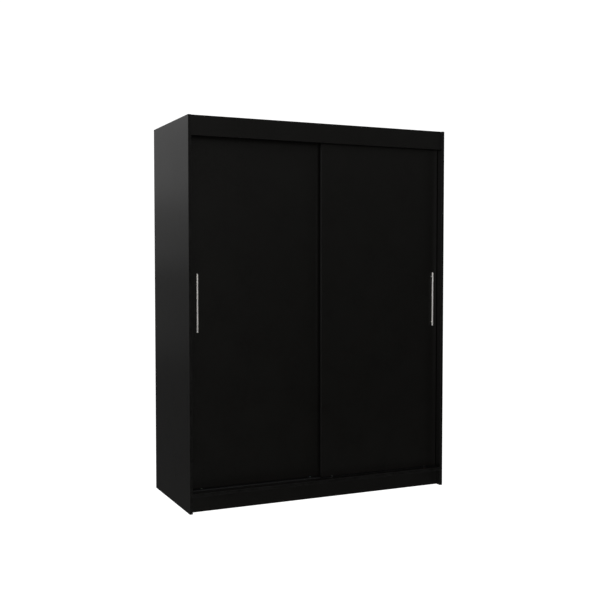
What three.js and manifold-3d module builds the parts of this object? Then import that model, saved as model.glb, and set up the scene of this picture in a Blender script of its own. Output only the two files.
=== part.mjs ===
// A free-standing wardrobe with two bypassing sliding doors, flat-packed from 16 mm black melamine board.
// Units are millimetres. +Z is up, the doors face -Y, and the origin is on the floor under the centre.

import * as THREE from "three";
import { mergeVertices } from "three/addons/utils/BufferGeometryUtils.js";
import Module from "manifold-3d";

const wasm = await Module();
wasm.setup();

// Overall size
const WIDTH = 1500;
const DEPTH = 620;
const HEIGHT = 2000;

// Boards
const BOARD = 16;
const BACK_SHEET = 3;
const BACK_JOINER_LIP = 1;
const FASCIA_HEIGHT = 100;
const FASCIA_RECESS = 8;
const PLINTH_HEIGHT = 86;
const PLINTH_RECESS = 35;
const PLINTH_REAR_INSET = 50;
const FRONT = -DEPTH / 2;
const BACK = DEPTH / 2 - BACK_SHEET - BACK_JOINER_LIP;
const INNER_X = WIDTH / 2 - BOARD;
const FLOOR_TOP = PLINTH_HEIGHT + BOARD;
const CEILING = HEIGHT - BOARD;

// Interior
const DIVIDER_RECESS = 106;
const SHELF_SETBACK = 4;
const SHELF_SIDE_GAP = 1;
const SHELF_BACK_GAP = 2;
const TOP_SHELF_UNDERSIDE = 1650;
const LOWER_SHELF_COUNT = 4;
const RAIL_RADIUS = 12.5;
const RAIL_WALL = 1.2;
const RAIL_DROP = 50;
const RAIL_Y = 50;
const HOLDER_FLANGE_RADIUS = 22;
const HOLDER_FLANGE = 3;
const HOLDER_LENGTH = 15;
const HOLDER_RADIUS = 16;
const HOLDER_BORE_RADIUS = 13;

// Doors
const FRONT_DOOR_RECESS = 44;
const REAR_DOOR_RECESS = 78;
const FRONT_DOOR_WIDTH = 727;
const REAR_DOOR_WIDTH = 759;
const DOOR_END_GAP = 3;
const DOOR_BOTTOM = FLOOR_TOP + 6;
const DOOR_TOP = 1950;
const DOOR_HEIGHT = DOOR_TOP - DOOR_BOTTOM;

// Handles
const HANDLE_LENGTH = 300;
const HANDLE_CENTRE_HEIGHT = 1060;
const HANDLE_WIDTH = 7;
const HANDLE_THICKNESS = 5;
const HANDLE_CORNER = 1.5;
const HANDLE_PROJECTION = 12;
const HANDLE_POST_RADIUS = 3.3;
const HANDLE_POST_SPACING = 256;
const FRONT_HANDLE_INSET = 31;
const REAR_HANDLE_INSET = 48;
const SCREW_RADIUS = 1.9;
const SCREW_HOLE_RADIUS = 2.3;
const SCREW_REACH = 4;
const SCREW_HEAD_RADIUS = 4;
const SCREW_HEAD_HEIGHT = 2.4;

// Rollers
const ROLLER_INSET = 70;
const WHEEL_RADIUS = 12;
const WHEEL_ROOT_RADIUS = 10.5;
const WHEEL_BORE_RADIUS = 2.8;
const WHEEL_WIDTH = 7;
const WHEEL_SETBACK = 10;
const RIDGE_CLEARANCE = 0.3;
const POCKET_WIDTH = 60;
const POCKET_HEIGHT = 45;
const POCKET_DEPTH = 11;
const PLATE_WIDTH = 80;
const PLATE_HEIGHT = 60;
const PLATE_THICKNESS = 2;
const PLATE_GAP = 0.3;
const AXLE_RADIUS = 2.4;
const AXLE_HEAD_RADIUS = 4;
const AXLE_HEAD = 0.6;

// Tracks
const TRACK_WALL = 2;
const TOP_TRACK_HEIGHT = 40;
const TOP_TRACK_FRONT_RECESS = 34;
const CHANNEL_PITCH = REAR_DOOR_RECESS - FRONT_DOOR_RECESS;
const BOTTOM_TRACK_FRONT_RECESS = 46;
const BOTTOM_TRACK_DEPTH = 52;
const TRACK_BASE = 2;
const RIDGE_WIDTH = 3;
const RIDGE_HEIGHT = 2;
const WHEEL_CENTRE_HEIGHT = FLOOR_TOP + TRACK_BASE + RIDGE_HEIGHT + RIDGE_CLEARANCE + WHEEL_ROOT_RADIUS;

// Guides and buffers
const GUIDE_LENGTH = 40;
const GUIDE_HEIGHT = 14;
const GUIDE_SIDE_GAP = 1.5;
const GUIDE_INSET = 90;
const BUFFER_RADIUS = 5;
const BUFFER_HEIGHT = 1000;

const ROUND_SEGMENTS = 32;
const SMALL_SEGMENTS = 20;

const material = {
  melamine: new THREE.MeshStandardMaterial({ color: 0x1b1b1c, roughness: 0.5, metalness: 0 }),
  backSheet: new THREE.MeshStandardMaterial({ color: 0x232324, roughness: 0.8, metalness: 0 }),
  handle: new THREE.MeshStandardMaterial({ color: 0xb9babb, roughness: 0.35, metalness: 1 }),
  track: new THREE.MeshStandardMaterial({ color: 0x1c1c1d, roughness: 0.45, metalness: 0.5 }),
  chrome: new THREE.MeshStandardMaterial({ color: 0xd6d7d9, roughness: 0.12, metalness: 1 }),
  steel: new THREE.MeshStandardMaterial({ color: 0xa9abad, roughness: 0.35, metalness: 1 }),
  nylon: new THREE.MeshStandardMaterial({ color: 0xd9d9d4, roughness: 0.5, metalness: 0 }),
  plastic: new THREE.MeshStandardMaterial({ color: 0x202021, roughness: 0.55, metalness: 0 }),
  rubber: new THREE.MeshStandardMaterial({ color: 0x121212, roughness: 0.85, metalness: 0 }),
};

// ---- Geometry helpers ----

function block(low, high) {
  const size = high.map((value, i) => value - low[i]);
  const geometry = new THREE.BoxGeometry(...size);
  geometry.translate(...low.map((value, i) => value + size[i] / 2));
  return geometry;
}

// A solid of revolution about Y through the origin, from [radius, y] pairs.
function turned(profile, segments) {
  const points = profile.map(([radius, y]) => new THREE.Vector2(radius, y));
  return new THREE.LatheGeometry([...points, points[0]], segments);
}

// An outline in the YZ plane, extruded along X between two ends.
function extrudedAlongX(outline, xLow, xHigh) {
  const shape = new THREE.Shape(outline.map(([y, z]) => new THREE.Vector2(y, z)));
  const geometry = new THREE.ExtrudeGeometry(shape, { depth: xHigh - xLow, bevelEnabled: false });
  const yzx = new THREE.Matrix4().makeBasis(
    new THREE.Vector3(0, 1, 0),
    new THREE.Vector3(0, 0, 1),
    new THREE.Vector3(1, 0, 0),
  );
  geometry.applyMatrix4(yzx);
  geometry.translate(xLow, 0, 0);
  return geometry;
}

function toManifold(geometry) {
  const bare = geometry.clone();
  bare.deleteAttribute("normal");
  bare.deleteAttribute("uv");
  const merged = mergeVertices(bare, 1e-4);
  return new wasm.Manifold(
    new wasm.Mesh({
      numProp: 3,
      vertProperties: merged.attributes.position.array,
      triVerts: new Uint32Array(merged.index.array),
    }),
  );
}

function toGeometry(manifold) {
  const mesh = manifold.getMesh();
  const geometry = new THREE.BufferGeometry();
  geometry.setAttribute("position", new THREE.BufferAttribute(mesh.vertProperties, 3));
  geometry.setIndex(new THREE.BufferAttribute(mesh.triVerts, 1));
  geometry.computeVertexNormals();
  return geometry;
}

function carved(base, cutters) {
  return toGeometry(cutters.reduce((solid, cutter) => solid.subtract(toManifold(cutter)), toManifold(base)));
}

function joined(pieces) {
  return toGeometry(pieces.map(toManifold).reduce((solid, next) => solid.add(next)));
}

function addPiece(group, name, geometry, finish) {
  const mesh = new THREE.Mesh(geometry, finish);
  mesh.name = name;
  group.add(mesh);
  return mesh;
}

// ---- Carcass boards ----

function makeBoards() {
  const group = new THREE.Group();
  const board = (name, low, high) => addPiece(group, name, block(low, high), material.melamine);

  board("left_side_panel", [-WIDTH / 2, FRONT, 0], [-INNER_X, BACK, HEIGHT]);
  board("right_side_panel", [INNER_X, FRONT, 0], [WIDTH / 2, BACK, HEIGHT]);
  board("bottom_panel", [-INNER_X, FRONT, PLINTH_HEIGHT], [INNER_X, BACK, FLOOR_TOP]);

  const fasciaFront = FRONT + FASCIA_RECESS;
  const fasciaBack = fasciaFront + BOARD;
  board("fascia_board", [-INNER_X, fasciaFront, HEIGHT - FASCIA_HEIGHT], [INNER_X, fasciaBack, HEIGHT]);
  board("top_panel", [-INNER_X, fasciaBack, CEILING], [INNER_X, BACK, HEIGHT]);

  const plinthFront = FRONT + PLINTH_RECESS;
  const plinthRear = BACK - PLINTH_REAR_INSET - BOARD;
  board("plinth_front", [-INNER_X, plinthFront, 0], [INNER_X, plinthFront + BOARD, PLINTH_HEIGHT]);
  board("plinth_rear", [-INNER_X, plinthRear, 0], [INNER_X, plinthRear + BOARD, PLINTH_HEIGHT]);
  board("plinth_centre", [-BOARD / 2, plinthFront + BOARD, 0], [BOARD / 2, plinthRear, PLINTH_HEIGHT]);

  const dividerFront = FRONT + DIVIDER_RECESS;
  board("centre_divider", [-BOARD / 2, dividerFront, FLOOR_TOP], [BOARD / 2, BACK, CEILING]);
  return group;
}

// Two thin sheets are nailed on the rear edges, and a T-shaped strip covers the seam between them.
function makeBack() {
  const group = new THREE.Group();
  const edgeInset = 1;
  const seamHalf = 1.3;
  const webHalf = 1;
  const flangeHalf = 9;
  const outer = WIDTH / 2 - edgeInset;
  const top = HEIGHT - edgeInset;
  const rear = BACK + BACK_SHEET;
  const left = block([-outer, BACK, PLINTH_HEIGHT], [-seamHalf, rear, top]);
  const right = block([seamHalf, BACK, PLINTH_HEIGHT], [outer, rear, top]);
  addPiece(group, "back_panel_left", left, material.backSheet);
  addPiece(group, "back_panel_right", right, material.backSheet);
  const web = block([-webHalf, BACK, PLINTH_HEIGHT], [webHalf, rear + BACK_JOINER_LIP / 2, top]);
  const flange = block([-flangeHalf, rear, PLINTH_HEIGHT], [flangeHalf, rear + BACK_JOINER_LIP, top]);
  addPiece(group, "back_panel_joiner", joined([web, flange]), material.plastic);
  return group;
}

// ---- Interior ----

function makeShelves() {
  const group = new THREE.Group();
  const near = BOARD / 2 + SHELF_SIDE_GAP;
  const far = INNER_X - SHELF_SIDE_GAP;
  const frontY = FRONT + DIVIDER_RECESS + SHELF_SETBACK;
  const rearY = BACK - SHELF_BACK_GAP;
  const shelf = (name, xLow, xHigh, underside) => {
    const geometry = block([xLow, frontY, underside], [xHigh, rearY, underside + BOARD]);
    addPiece(group, name, geometry, material.melamine);
  };

  shelf("top_shelf_left", -far, -near, TOP_SHELF_UNDERSIDE);
  shelf("top_shelf_right", near, far, TOP_SHELF_UNDERSIDE);
  const bays = LOWER_SHELF_COUNT + 1;
  const clearHeight = (TOP_SHELF_UNDERSIDE - FLOOR_TOP - LOWER_SHELF_COUNT * BOARD) / bays;
  for (let i = 1; i <= LOWER_SHELF_COUNT; i += 1) {
    const underside = FLOOR_TOP + i * clearHeight + (i - 1) * BOARD;
    shelf(`lower_shelf_${i}`, near, far, Math.round(underside));
  }
  return group;
}

// A flange with a short cup, open at the top so that the rail drops in. Its flange lies in the YZ plane.
function railHolder() {
  const body = turned(
    [
      [0, 0],
      [HOLDER_FLANGE_RADIUS, 0],
      [HOLDER_FLANGE_RADIUS, HOLDER_FLANGE],
      [HOLDER_RADIUS, HOLDER_FLANGE],
      [HOLDER_RADIUS, HOLDER_LENGTH],
      [0, HOLDER_LENGTH],
    ],
    ROUND_SEGMENTS,
  );
  const bore = turned(
    [
      [0, HOLDER_FLANGE],
      [HOLDER_BORE_RADIUS, HOLDER_FLANGE],
      [HOLDER_BORE_RADIUS, HOLDER_LENGTH + 1],
      [0, HOLDER_LENGTH + 1],
    ],
    ROUND_SEGMENTS,
  );
  const mouth = block(
    [-HOLDER_BORE_RADIUS, HOLDER_FLANGE, 0],
    [HOLDER_BORE_RADIUS, HOLDER_LENGTH + 1, HOLDER_FLANGE_RADIUS + 1],
  );
  return carved(body, [bore, mouth]);
}

function makeRail() {
  const group = new THREE.Group();
  const railZ = TOP_SHELF_UNDERSIDE - RAIL_DROP;
  const leftWall = -INNER_X;
  const rightWall = -BOARD / 2;
  const endGap = 1;
  const length = rightWall - leftWall - 2 * (HOLDER_FLANGE + endGap);
  const tube = turned(
    [
      [RAIL_RADIUS - RAIL_WALL, -length / 2],
      [RAIL_RADIUS, -length / 2],
      [RAIL_RADIUS, length / 2],
      [RAIL_RADIUS - RAIL_WALL, length / 2],
    ],
    ROUND_SEGMENTS,
  );
  const rail = addPiece(group, "hanging_rail", tube, material.chrome);
  rail.rotation.z = Math.PI / 2;
  rail.position.set((leftWall + rightWall) / 2, RAIL_Y, railZ);

  const leftHolder = addPiece(group, "rail_holder_left", railHolder(), material.chrome);
  leftHolder.rotation.z = -Math.PI / 2;
  leftHolder.position.set(leftWall, RAIL_Y, railZ);
  const rightHolder = addPiece(group, "rail_holder_right", railHolder(), material.chrome);
  rightHolder.rotation.z = Math.PI / 2;
  rightHolder.position.set(rightWall, RAIL_Y, railZ);
  return group;
}

// ---- Tracks and buffers ----

// The E-shaped top track: a base under the top panel and three ribs that form the two guide channels.
function topTrackOutline() {
  const front = FRONT + TOP_TRACK_FRONT_RECESS;
  const back = front + 2 * CHANNEL_PITCH + TRACK_WALL;
  const roof = CEILING - TRACK_WALL;
  const lip = CEILING - TOP_TRACK_HEIGHT;
  const outline = [
    [back, lip],
    [back, CEILING],
    [front, CEILING],
    [front, lip],
    [front + TRACK_WALL, lip],
    [front + TRACK_WALL, roof],
  ];
  const middle = front + CHANNEL_PITCH;
  outline.push([middle, roof], [middle, lip], [middle + TRACK_WALL, lip], [middle + TRACK_WALL, roof]);
  outline.push([back - TRACK_WALL, roof], [back - TRACK_WALL, lip]);
  return outline;
}

// The bottom track: a thin strip with a ridge under each door for the grooved wheels.
function bottomTrackOutline() {
  const front = FRONT + BOTTOM_TRACK_FRONT_RECESS;
  const top = FLOOR_TOP + TRACK_BASE;
  const crown = top + RIDGE_HEIGHT;
  const chamfer = 0.5;
  const ridge = (centre) => [
    [centre - RIDGE_WIDTH / 2, top],
    [centre - RIDGE_WIDTH / 2, crown - chamfer],
    [centre - RIDGE_WIDTH / 2 + chamfer, crown],
    [centre + RIDGE_WIDTH / 2 - chamfer, crown],
    [centre + RIDGE_WIDTH / 2, crown - chamfer],
    [centre + RIDGE_WIDTH / 2, top],
  ];
  const back = front + BOTTOM_TRACK_DEPTH;
  return [
    [front, FLOOR_TOP],
    [front, top],
    ...ridge(FRONT + FRONT_DOOR_RECESS + WHEEL_SETBACK),
    ...ridge(FRONT + REAR_DOOR_RECESS + WHEEL_SETBACK),
    [back, top],
    [back, FLOOR_TOP],
  ].reverse();
}

function makeTracks() {
  const group = new THREE.Group();
  const end = INNER_X - 1;
  addPiece(group, "top_track", extrudedAlongX(topTrackOutline(), -end, end), material.track);
  addPiece(group, "bottom_track", extrudedAlongX(bottomTrackOutline(), -end, end), material.track);
  return group;
}

// A rubber dome on each side panel stops each door a few millimetres short of the board.
function makeBuffers() {
  const group = new THREE.Group();
  const dome = [
    [0, 0],
    [BUFFER_RADIUS, 0],
    [BUFFER_RADIUS, 0.5 * DOOR_END_GAP],
    [0.7 * BUFFER_RADIUS, DOOR_END_GAP],
    [0, DOOR_END_GAP],
  ];
  const rows = { front: FRONT_DOOR_RECESS, rear: REAR_DOOR_RECESS };
  for (const [row, recess] of Object.entries(rows)) {
    for (const [side, sign] of [["left", -1], ["right", 1]]) {
      const buffer = addPiece(group, `${row}_buffer_${side}`, turned(dome, SMALL_SEGMENTS), material.rubber);
      buffer.rotation.z = (sign * Math.PI) / 2;
      buffer.position.set(sign * INNER_X, FRONT + recess + BOARD / 2, BUFFER_HEIGHT);
    }
  }
  return group;
}

// ---- Doors ----
// A door is built in its own frame: X runs from its left edge, Y from its front face to the rear, and Z from
// its bottom edge.

// A round bar along Y, from yLow to yHigh, at the given X and Z.
function roundBar(radius, yLow, yHigh, x, z) {
  const profile = [[0, yLow], [radius, yLow], [radius, yHigh], [0, yHigh]];
  const geometry = turned(profile, SMALL_SEGMENTS);
  geometry.translate(x, 0, z);
  return geometry;
}

function doorPanel(width, handleX, postHeights, rollerXs) {
  const cutters = postHeights.map((z) => roundBar(SCREW_HOLE_RADIUS, -1, BOARD + 1, handleX, z));
  for (const x of rollerXs) {
    const pocket = [POCKET_WIDTH / 2, BOARD - POCKET_DEPTH, POCKET_HEIGHT];
    const rebate = [PLATE_WIDTH / 2, BOARD - PLATE_THICKNESS, PLATE_HEIGHT];
    for (const [half, yLow, zHigh] of [pocket, rebate]) {
      cutters.push(block([x - half, yLow, -1], [x + half, BOARD + 1, zHigh]));
    }
  }
  return carved(block([0, 0, 0], [width, BOARD, DOOR_HEIGHT]), cutters);
}

// A flat bar with rounded long edges, on two round posts that are bored for the screws.
function handle(postHeights) {
  const half = HANDLE_WIDTH / 2;
  const front = -HANDLE_PROJECTION;
  const back = front + HANDLE_THICKNESS;
  const r = HANDLE_CORNER;
  const section = new THREE.Shape();
  section.moveTo(-half + r, front);
  section.lineTo(half - r, front);
  section.absarc(half - r, front + r, r, -Math.PI / 2, 0);
  section.absarc(half - r, back - r, r, 0, Math.PI / 2);
  section.absarc(-half + r, back - r, r, Math.PI / 2, Math.PI);
  section.absarc(-half + r, front + r, r, Math.PI, 1.5 * Math.PI);
  const options = { depth: HANDLE_LENGTH, bevelEnabled: false, curveSegments: 4 };
  const bar = new THREE.ExtrudeGeometry(section, options);
  const middle = (postHeights[0] + postHeights[1]) / 2;
  bar.translate(0, 0, middle - HANDLE_LENGTH / 2);
  const posts = postHeights.map((z) => roundBar(HANDLE_POST_RADIUS, back - 1, 0, 0, z));
  const bores = postHeights.map((z) => roundBar(SCREW_HOLE_RADIUS, -SCREW_REACH - 1, 1, 0, z));
  return carved(joined([bar, ...posts]), bores);
}

function handleScrew() {
  return turned(
    [
      [0, -SCREW_REACH],
      [SCREW_RADIUS, -SCREW_REACH],
      [SCREW_RADIUS, BOARD],
      [SCREW_HEAD_RADIUS, BOARD],
      [SCREW_HEAD_RADIUS, BOARD + 0.5 * SCREW_HEAD_HEIGHT],
      [0.6 * SCREW_HEAD_RADIUS, BOARD + SCREW_HEAD_HEIGHT],
      [0, BOARD + SCREW_HEAD_HEIGHT],
    ],
    SMALL_SEGMENTS,
  );
}

// The wheel's groove straddles the track's ridge. Its axis is Y and its middle is the origin, which lies
// WHEEL_SETBACK behind the door's front face, inside the pocket.
function wheel() {
  const half = WHEEL_WIDTH / 2;
  const grooveFloor = 1.9;
  const grooveMouth = 2.6;
  const rim = WHEEL_RADIUS;
  return turned(
    [
      [WHEEL_BORE_RADIUS, -half],
      [rim - 0.5, -half],
      [rim, -half + 0.4],
      [rim, -grooveMouth],
      [WHEEL_ROOT_RADIUS, -grooveFloor],
      [WHEEL_ROOT_RADIUS, grooveFloor],
      [rim, grooveMouth],
      [rim, half - 0.4],
      [rim - 0.5, half],
      [WHEEL_BORE_RADIUS, half],
    ],
    ROUND_SEGMENTS,
  );
}

// The axle stands forward from the plate and ends in a riveted head in front of the wheel.
function axle() {
  const root = BOARD - PLATE_THICKNESS - WHEEL_SETBACK;
  const headBack = -WHEEL_WIDTH / 2 - RIDGE_CLEARANCE;
  return turned(
    [
      [0, headBack - AXLE_HEAD],
      [AXLE_HEAD_RADIUS, headBack - AXLE_HEAD],
      [AXLE_HEAD_RADIUS, headBack],
      [AXLE_RADIUS, headBack],
      [AXLE_RADIUS, root],
      [0, root],
    ],
    SMALL_SEGMENTS,
  );
}

// A nylon shoe on the door's top edge fills the width of its guide channel.
function guide() {
  const channelHalf = (CHANNEL_PITCH - TRACK_WALL) / 2 - GUIDE_SIDE_GAP;
  const toe = 5;
  const shape = new THREE.Shape([
    new THREE.Vector2(-GUIDE_LENGTH / 2, -channelHalf + toe),
    new THREE.Vector2(-GUIDE_LENGTH / 2 + toe, -channelHalf),
    new THREE.Vector2(GUIDE_LENGTH / 2 - toe, -channelHalf),
    new THREE.Vector2(GUIDE_LENGTH / 2, -channelHalf + toe),
    new THREE.Vector2(GUIDE_LENGTH / 2, channelHalf - toe),
    new THREE.Vector2(GUIDE_LENGTH / 2 - toe, channelHalf),
    new THREE.Vector2(-GUIDE_LENGTH / 2 + toe, channelHalf),
    new THREE.Vector2(-GUIDE_LENGTH / 2, channelHalf - toe),
  ]);
  return new THREE.ExtrudeGeometry(shape, { depth: GUIDE_HEIGHT, bevelEnabled: false });
}

function makeDoor(row, width, handleX) {
  const group = new THREE.Group();
  const handleMiddle = HANDLE_CENTRE_HEIGHT - DOOR_BOTTOM;
  const postHeights = [handleMiddle - HANDLE_POST_SPACING / 2, handleMiddle + HANDLE_POST_SPACING / 2];
  const ends = [["left", 1, 0], ["right", -1, width]];
  const rollerXs = ends.map(([, sign, edge]) => edge + sign * ROLLER_INSET);

  const panel = doorPanel(width, handleX, postHeights, rollerXs);
  addPiece(group, `${row}_door_panel`, panel, material.melamine);
  const bar = addPiece(group, `${row}_handle`, handle(postHeights), material.handle);
  bar.position.x = handleX;
  ["lower", "upper"].forEach((place, i) => {
    const screw = addPiece(group, `${row}_handle_screw_${place}`, handleScrew(), material.steel);
    screw.position.set(handleX, 0, postHeights[i]);
  });

  for (const [side, sign, edge] of ends) {
    const x = edge + sign * ROLLER_INSET;
    const half = PLATE_WIDTH / 2 - PLATE_GAP;
    const plate = block(
      [x - half, BOARD - PLATE_THICKNESS, PLATE_GAP],
      [x + half, BOARD, PLATE_HEIGHT - PLATE_GAP],
    );
    addPiece(group, `${row}_roller_plate_${side}`, plate, material.steel);
    const wheelZ = WHEEL_CENTRE_HEIGHT - DOOR_BOTTOM;
    const pin = addPiece(group, `${row}_roller_axle_${side}`, axle(), material.steel);
    pin.position.set(x, WHEEL_SETBACK, wheelZ);
    const roller = addPiece(group, `${row}_wheel_${side}`, wheel(), material.nylon);
    roller.position.set(x, WHEEL_SETBACK, wheelZ);
    const shoe = addPiece(group, `${row}_top_guide_${side}`, guide(), material.nylon);
    shoe.position.set(edge + sign * GUIDE_INSET, BOARD / 2, DOOR_HEIGHT);
  }
  return group;
}

function makeDoors() {
  const group = new THREE.Group();
  const front = makeDoor("front", FRONT_DOOR_WIDTH, FRONT_DOOR_WIDTH - FRONT_HANDLE_INSET);
  front.position.set(INNER_X - DOOR_END_GAP - FRONT_DOOR_WIDTH, FRONT + FRONT_DOOR_RECESS, DOOR_BOTTOM);
  const rear = makeDoor("rear", REAR_DOOR_WIDTH, REAR_HANDLE_INSET);
  rear.position.set(-INNER_X + DOOR_END_GAP, FRONT + REAR_DOOR_RECESS, DOOR_BOTTOM);
  group.add(front, rear);
  return group;
}

const wardrobe = new THREE.Group();
wardrobe.add(makeBoards(), makeBack(), makeShelves(), makeRail(), makeTracks(), makeBuffers(), makeDoors());

export default wardrobe;
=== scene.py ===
"""A black wardrobe with two bypassing sliding doors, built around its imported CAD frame. Metres, +Z up."""

import math

import bmesh
import bpy
from mathutils import Matrix, Vector


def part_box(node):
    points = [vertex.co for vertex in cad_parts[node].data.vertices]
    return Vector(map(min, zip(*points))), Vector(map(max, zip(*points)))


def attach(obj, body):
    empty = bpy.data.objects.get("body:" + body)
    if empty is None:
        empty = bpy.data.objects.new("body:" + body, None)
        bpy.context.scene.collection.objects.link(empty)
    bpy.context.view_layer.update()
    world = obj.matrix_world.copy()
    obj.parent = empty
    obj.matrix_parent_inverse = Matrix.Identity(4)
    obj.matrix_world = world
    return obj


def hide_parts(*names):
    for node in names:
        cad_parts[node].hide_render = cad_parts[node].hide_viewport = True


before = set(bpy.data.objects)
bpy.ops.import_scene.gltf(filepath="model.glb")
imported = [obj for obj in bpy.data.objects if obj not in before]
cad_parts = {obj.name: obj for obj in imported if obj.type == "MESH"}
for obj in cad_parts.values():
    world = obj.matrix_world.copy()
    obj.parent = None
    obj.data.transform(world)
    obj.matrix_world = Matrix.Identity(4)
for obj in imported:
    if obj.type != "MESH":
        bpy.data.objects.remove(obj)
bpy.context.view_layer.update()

MM = 0.001

# Board edges
EDGE_RADIUS = 0.7 * MM
EDGE_SEGMENTS = 3

# Shelf pins and the drilled rows they sit in
PIN_RADIUS = 2.5 * MM
PIN_PITCH = 32 * MM
PIN_ROW_INSET = 50 * MM
PIN_REACH = 9 * MM
HOLE_DEPTH = 7 * MM

# Roller pockets in the doors
POCKET_WIDTH = 60 * MM
POCKET_HEIGHT = 45 * MM
POCKET_DEPTH = 11 * MM
PLATE_MARGIN = 0.3 * MM

TRACK_WALL = 2 * MM

# Clearance of a buffer from the door that stops at it
BUFFER_GAP = 0.2 * MM

SMOOTH_ANGLE = math.radians(35)

# Directions of the two dark flags in the studio
FRONT_FLAG = (0.45, -0.89, -0.05)
REAR_FLAG = (-0.32, 0.95, -0.08)


# ---- Materials ----


class Finish:
    """A procedural material in the making: a Principled shader, and short calls that add nodes to it."""

    def __init__(self, name, color, roughness, metallic=0.0):
        self.material = bpy.data.materials.new(name)
        self.material.use_nodes = True
        self.tree = self.material.node_tree
        self.shader = self.tree.nodes["Principled BSDF"]
        self.shader.inputs["Base Color"].default_value = (*color, 1)
        self.shader.inputs["Roughness"].default_value = roughness
        self.shader.inputs["Metallic"].default_value = metallic
        self.coordinates = self.tree.nodes.new("ShaderNodeTexCoord").outputs["Object"]
        self.height = None

    def set(self, **sockets):
        for name, value in sockets.items():
            self.shader.inputs[name.replace("_", " ")].default_value = value
        return self

    def link(self, source, socket):
        self.tree.links.new(source, socket)

    def stretched(self, scale):
        mapping = self.tree.nodes.new("ShaderNodeMapping")
        mapping.inputs["Scale"].default_value = scale
        self.link(self.coordinates, mapping.inputs["Vector"])
        return mapping.outputs["Vector"]

    def noise(self, scale, detail=2.0, roughness=0.5, stretch=None):
        node = self.tree.nodes.new("ShaderNodeTexNoise")
        node.inputs["Scale"].default_value = scale
        node.inputs["Detail"].default_value = detail
        node.inputs["Roughness"].default_value = roughness
        self.link(self.stretched(stretch) if stretch else self.coordinates, node.inputs["Vector"])
        return node.outputs["Fac"]

    def cells(self, scale, stretch=None, output="Color"):
        node = self.tree.nodes.new("ShaderNodeTexVoronoi")
        node.inputs["Scale"].default_value = scale
        self.link(self.stretched(stretch) if stretch else self.coordinates, node.inputs["Vector"])
        return node.outputs[output]

    def ramp(self, value, stops):
        node = self.tree.nodes.new("ShaderNodeValToRGB")
        elements = node.color_ramp.elements
        while len(elements) < len(stops):
            elements.new(0.5)
        for element, (position, color) in zip(elements, stops):
            element.position = position
            element.color = (*color, 1)
        self.link(value, node.inputs["Fac"])
        return node.outputs["Color"]

    def range(self, value, low, high, from_low=0.3, from_high=0.7):
        node = self.tree.nodes.new("ShaderNodeMapRange")
        node.inputs["From Min"].default_value = from_low
        node.inputs["From Max"].default_value = from_high
        node.inputs["To Min"].default_value = low
        node.inputs["To Max"].default_value = high
        self.link(value, node.inputs["Value"])
        return node.outputs["Result"]

    def add(self, first, second):
        node = self.tree.nodes.new("ShaderNodeMath")
        node.operation = "ADD"
        self.link(first, node.inputs[0])
        self.link(second, node.inputs[1])
        return node.outputs["Value"]

    def mix(self, factor, first, second, blend="MIX"):
        node = self.tree.nodes.new("ShaderNodeMix")
        node.data_type = "RGBA"
        node.blend_type = blend
        for index, source in ((0, factor), (6, first), (7, second)):
            if isinstance(source, (int, float)):
                node.inputs[index].default_value = source
            elif isinstance(source, tuple):
                node.inputs[index].default_value = (*source, 1)
            else:
                self.link(source, node.inputs[index])
        return node.outputs[2]

    def color(self, source):
        self.link(source, self.shader.inputs["Base Color"])
        return self

    def roughness(self, source):
        self.link(source, self.shader.inputs["Roughness"])
        return self

    def bump(self, height, distance, strength=1.0):
        """Adds a relief of that height in metres, on top of any relief added before."""
        node = self.tree.nodes.new("ShaderNodeBump")
        node.inputs["Strength"].default_value = strength
        node.inputs["Distance"].default_value = distance
        self.link(height, node.inputs["Height"])
        if self.height is not None:
            self.link(self.height, node.inputs["Normal"])
        self.height = node.outputs["Normal"]
        self.link(self.height, self.shader.inputs["Normal"])
        return self


def melamine():
    """Satin black board: a fine pearl relief, faint clouding, and gloss that varies with handling."""
    finish = Finish("black_melamine", (0.0095, 0.009, 0.008), 0.5)
    cloud = finish.noise(2.4, detail=3)
    pearl = finish.noise(1300, detail=3, roughness=0.6)
    smudge = finish.noise(5.5, detail=4, roughness=0.6)
    tone = finish.ramp(cloud, [(0.3, (0.0092, 0.0086, 0.0072)), (0.7, (0.0108, 0.0101, 0.0086))])
    speckle = finish.ramp(pearl, [(0.35, (0.82, 0.82, 0.82)), (0.7, (1.2, 1.2, 1.2))])
    finish.color(finish.mix(1.0, tone, speckle, "MULTIPLY"))
    finish.roughness(finish.add(finish.range(smudge, 0.275, 0.30), finish.range(pearl, -0.02, 0.03)))
    finish.bump(pearl, 0.02 * MM, 0.6)
    return finish.set(Specular_IOR_Level=0.5).material


def edge_band():
    """The plastic strip on a board's edges: a little smoother, and rubbed paler in patches."""
    finish = Finish("black_edge_band", (0.006, 0.006, 0.006), 0.38)
    rub = finish.noise(38, detail=5, roughness=0.7)
    grain = finish.noise(900, detail=2)
    finish.color(finish.ramp(rub, [(0.45, (0.0078, 0.0074, 0.0066)), (0.8, (0.013, 0.0126, 0.0118))]))
    finish.roughness(finish.range(rub, 0.26, 0.40))
    finish.bump(grain, 0.015 * MM, 0.5)
    return finish.set(Specular_IOR_Level=0.35).material


def chipboard():
    """Raw particle board, where a board is cut or milled and not banded."""
    finish = Finish("raw_chipboard", (0.34, 0.24, 0.14), 0.9)
    chips = finish.cells(420, stretch=(1, 1, 1.6))
    dark, mid, pale = (0.20, 0.13, 0.07), (0.38, 0.27, 0.16), (0.55, 0.42, 0.27)
    shade = finish.ramp(chips, [(0.0, dark), (0.5, mid), (1.0, pale)])
    finish.color(shade)
    finish.bump(chips, 0.3 * MM, 0.7)
    return finish.material


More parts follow.
